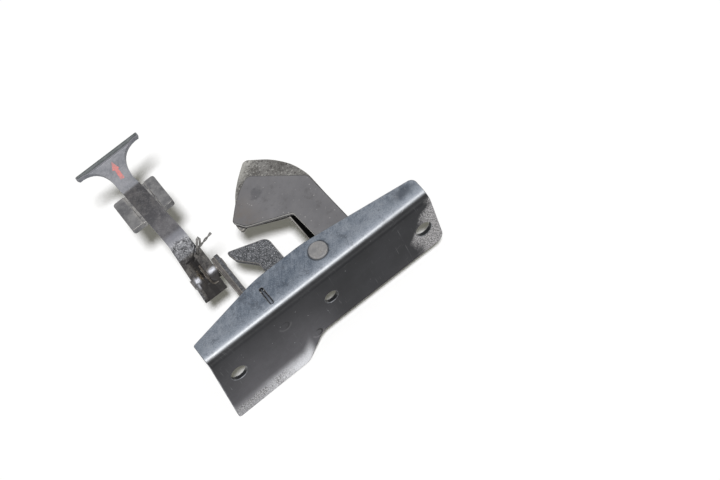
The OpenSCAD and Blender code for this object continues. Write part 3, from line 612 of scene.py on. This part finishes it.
# ---- the CAD nodes: face, edge, width of the softened edge in mm
paints = {
    "bracket": (black, rim_black, 0.22),
    "pivot_rivet": (head, head, 0.18),
    "pivot_washer": (steel, steel, 0.12),
    "hook_front_plate": (hook, rim_hook_shade_glint, 0.40),
    "hook_rear_plate": (rear, rim_dust, 0.30),
    "pivot_spacer": (steel, steel, 0.1),
    "tie_spacer": (steel, steel, 0.1),
    "tie_rivet": (steel, steel, 0.12),
    "return_spring": (leg, None, 0),
    "release_lever": (claw, rim_dust, 0.20),
    "hinge_arm": (arm, rim_dust, 0.20),
    "hinge_pin": (steel, steel, 0.14),
    "pull_handle": (handle, rim_grip, 0.14),
    "handle_stop": (stop, rim_worn, 0.16),
    "handle_spring": (spring, None, 0),
    "lock_wire": (twist, None, 0),
}
WELD_FINE, WELD_WIDE = 2e-6, 2e-5
FLAT_WITHIN = math.radians(0.5)
SHARP_FROM = math.radians(38)
for name, (face, edge, width) in paints.items():
    ob = nodes[name]
    for i in range(len(ob.data.materials)):
        ob.data.materials[i] = face
    # the handle's rolled faces aren't joined, and its soft edges are clamped to stay in the box
    joined = width > 0 and name != "pull_handle"
    weld = ob.modifiers.new("weld", "WELD")
    weld.merge_threshold = WELD_WIDE if joined else WELD_FINE
    if width:
        ob.data.materials.append(edge)
        if joined:
            join = ob.modifiers.new("join_flat", "DECIMATE")
            join.decimate_type = "DISSOLVE"
            join.angle_limit = FLAT_WITHIN
        bev = ob.modifiers.new("soft_edges", "BEVEL")
        bev.width = width * MM
        bev.segments = 2
        bev.limit_method = "ANGLE"
        bev.angle_limit = SHARP_FROM
        bev.use_clamp_overlap = not joined
        bev.loop_slide = not joined
        bev.material = len(ob.data.materials) - 1
        flat = ob.modifiers.new("flat_faces", "WEIGHTED_NORMAL")
        flat.mode = "FACE_AREA"


def place(name, bm, material):
    """Turn a bmesh into an object in the scene."""
    me = bpy.data.meshes.new(name)
    bm.to_mesh(me)
    bm.free()
    me.materials.append(material)
    ob = bpy.data.objects.new(name, me)
    scene.collection.objects.link(ob)
    return ob


# ---- return spring: a welded, smooth-shaded copy of its mesh stands in for the node
def return_coil():
    bm = bmesh.new()
    bm.from_mesh(nodes["return_spring"].data)
    bmesh.ops.remove_doubles(bm, verts=bm.verts, dist=WELD_FINE)
    for f in bm.faces:
        f.smooth = True
    ob = place("return_coil", bm, leg)
    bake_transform(ob)
    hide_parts("return_spring")


return_coil()


# ---- painted arrow on the T plate
def arrow():
    paint_from, paint_thick = 0.92, 0.06    # mm out from the middle of the sheet
    along = Vector((0, math.cos(TEE_RISE), math.sin(TEE_RISE)))
    out = Vector((0, -math.sin(TEE_RISE), math.cos(TEE_RISE)))
    base = Vector((HANDLE_X, TEE_Y, TEE_Z)) + out * paint_from
    # outline in mm: across the T, along it from the bend
    pts = [(-1.21, 6.3), (0.64, 6.0), (0.74, 10.9), (1.4, 10.8),
           (0.26, 15.0), (-1.73, 11.5), (-0.85, 11.0)]
    bm = bmesh.new()
    lo = []
    hi = []
    for a, s in pts:
        p = base + Vector((a, 0, 0)) + along * s
        lo.append(bm.verts.new(p * MM))
        hi.append(bm.verts.new((p + out * paint_thick) * MM))
    bm.faces.new(list(reversed(lo)))
    bm.faces.new(hi)
    for i in range(len(pts)):
        j = (i + 1) % len(pts)
        bm.faces.new((lo[i], lo[j], hi[j], hi[i]))
    bmesh.ops.recalc_face_normals(bm, faces=bm.faces)
    ob = place("pull_arrow", bm, red_paint())
    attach(ob, "handle")


arrow()


# ---- floor: pale, with a faint warm tint that shows in the shadows and lights nothing
FLOOR_HALF = 3.0
SHADOW_TINT, TINT_STRENGTH = (1.0, 0.98, 0.62, 1), 0.06
floor_z = cad_box[0][2]
bm = bmesh.new()
bm.faces.new([bm.verts.new((a * FLOOR_HALF, b * FLOOR_HALF, floor_z))
              for a, b in ((-1, -1), (1, -1), (1, 1), (-1, 1))])
pale = bpy.data.materials.new("floor_pale")
pale.use_nodes = True
t = pale.node_tree
t.nodes.clear()
diffuse = t.nodes.new("ShaderNodeBsdfDiffuse")
diffuse.inputs[0].default_value = (0.90, 0.90, 0.92, 1)
tint = t.nodes.new("ShaderNodeEmission")
tint.inputs[0].default_value = SHADOW_TINT
rays = t.nodes.new("ShaderNodeLightPath").outputs
seen = rays["Is Camera Ray"]
for kind in ("Is Glossy Ray", "Is Transmission Ray"):
    either = t.nodes.new("ShaderNodeMath")
    either.operation = "MAXIMUM"
    t.links.new(seen, either.inputs[0])
    t.links.new(rays[kind], either.inputs[1])
    seen = either.outputs[0]
scaled = t.nodes.new("ShaderNodeMath")
scaled.operation = "MULTIPLY"
t.links.new(seen, scaled.inputs[0])
scaled.inputs[1].default_value = TINT_STRENGTH
t.links.new(scaled.outputs[0], tint.inputs[1])
both = t.nodes.new("ShaderNodeAddShader")
t.links.new(diffuse.outputs[0], both.inputs[0])
t.links.new(tint.outputs[0], both.inputs[1])
t.links.new(both.outputs[0], t.nodes.new("ShaderNodeOutputMaterial").inputs[0])
floor = place("floor", bm, pale)


# ---- light: a dim even sky and one soft lamp a little above the camera
world = bpy.data.worlds.new("world")
scene.world = world
world.use_nodes = True
sky = world.node_tree.nodes["Background"]
sky.inputs[0].default_value = (1.0, 0.99, 0.95, 1)
sky.inputs[1].default_value = 0.14

LAMP_ABOVE = math.radians(6)
sun_data = bpy.data.lights.new("key", "SUN")
sun_data.energy = 3.4
sun_data.angle = math.radians(6)
sun = bpy.data.objects.new("key", sun_data)
scene.collection.objects.link(sun)
towards = back * math.cos(LAMP_ABOVE) + up * math.sin(LAMP_ABOVE)
sun.rotation_euler = towards.to_track_quat("Z", "Y").to_euler()

scene.view_settings.view_transform = "Standard"

bpy.context.view_layer.update()
